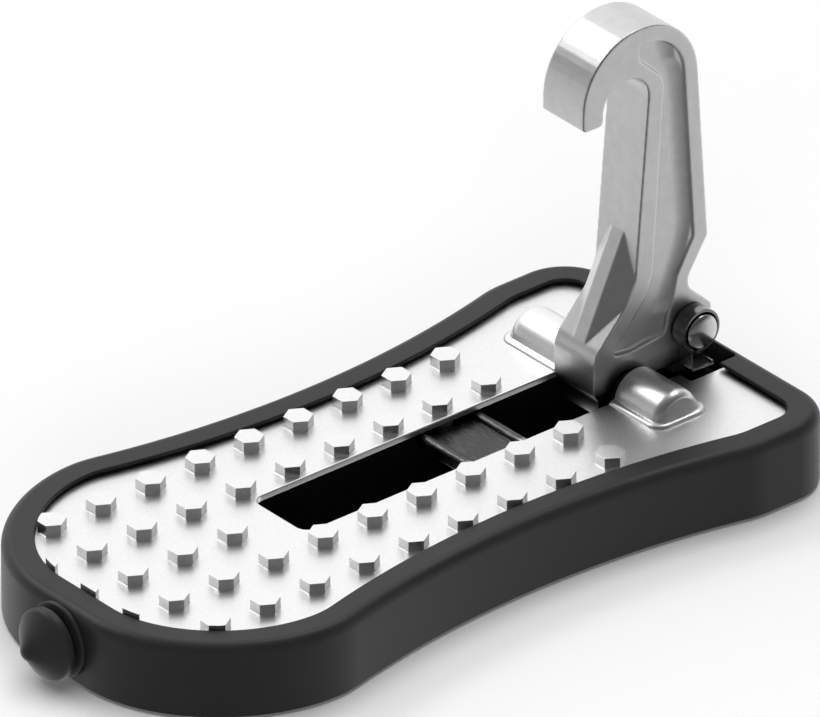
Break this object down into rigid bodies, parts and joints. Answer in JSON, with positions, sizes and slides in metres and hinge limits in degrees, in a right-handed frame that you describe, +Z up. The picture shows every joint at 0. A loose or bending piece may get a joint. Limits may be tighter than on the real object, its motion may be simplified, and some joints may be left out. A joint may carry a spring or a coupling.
{
  "type": "folding latch step",
  "caption": "Dog-bone foot pedal with hexagonal grip studs, a hook that folds down into its slot, and a blunt hammer cone on the front end.",
  "frame": {"origin": "on the ground, under the middle of the object's box, with the pedal lying on its feet and the hook upright", "axes": "+X along the pedal from the hammer cone to the hook end, +Y across the pedal, +Z up"},
  "size_m": [0.1673, 0.0794, 0.0914],
  "materials": {
    "black_plastic": "fine matte moulded black",
    "satin_metal": "bright satin",
    "cast_metal": "satin painted casting",
    "steel": "bright zinc plated",
    "bronze": "plain turned",
    "rubber": "matte moulded"
  },
  "bodies": {
    "pedal": {"casing": "black_plastic", "bottom_cover": "black_plastic", "hammer_cone": "black_plastic", "hammer_collar": "black_plastic", "tread_plate": "satin_metal", "slot_bridge": "satin_metal", "hook_axle": "steel", "axle_keeper_left": "steel", "axle_keeper_right": "steel", "keeper_screw_left_front": "steel", "keeper_screw_left_rear": "steel", "keeper_screw_right_front": "steel", "keeper_screw_right_rear": "steel", "bridge_screw_left": "steel", "bridge_screw_right": "steel", "hammer_nut": "steel", "cover_screw_1": "steel", "cover_screw_2": "steel", "cover_screw_3": "steel", "cover_screw_4": "steel", "cover_screw_5": "steel", "cover_screw_6": "steel", "thrust_washer_left": "bronze", "thrust_washer_right": "bronze", "foot_pad_1": "rubber", "foot_pad_2": "rubber", "foot_pad_3": "rubber", "foot_pad_4": "rubber"},
    "hook": {"hook": "cast_metal", "hook_bush": "bronze", "latch_pin": "cast_metal", "pin_ring": "steel"},
    "clip": {"latch_clip": "steel"}
  },
  "joints": [
    {"name": "hook_fold", "type": "hinge", "parent": "pedal", "child": "hook", "pos_m": [0.05845, 0, 0.01445], "axis": [0, -1, 0], "range_deg": [0, 90]},
    {"name": "clip_swing", "type": "hinge", "parent": "hook", "child": "clip", "pos_m": [0.07395, 0, 0.02325], "axis": [0, -1, 0], "range_deg": [0, 25], "stiffness_Nm_per_rad": 0.02, "springref_deg": -11.46}
  ]
}
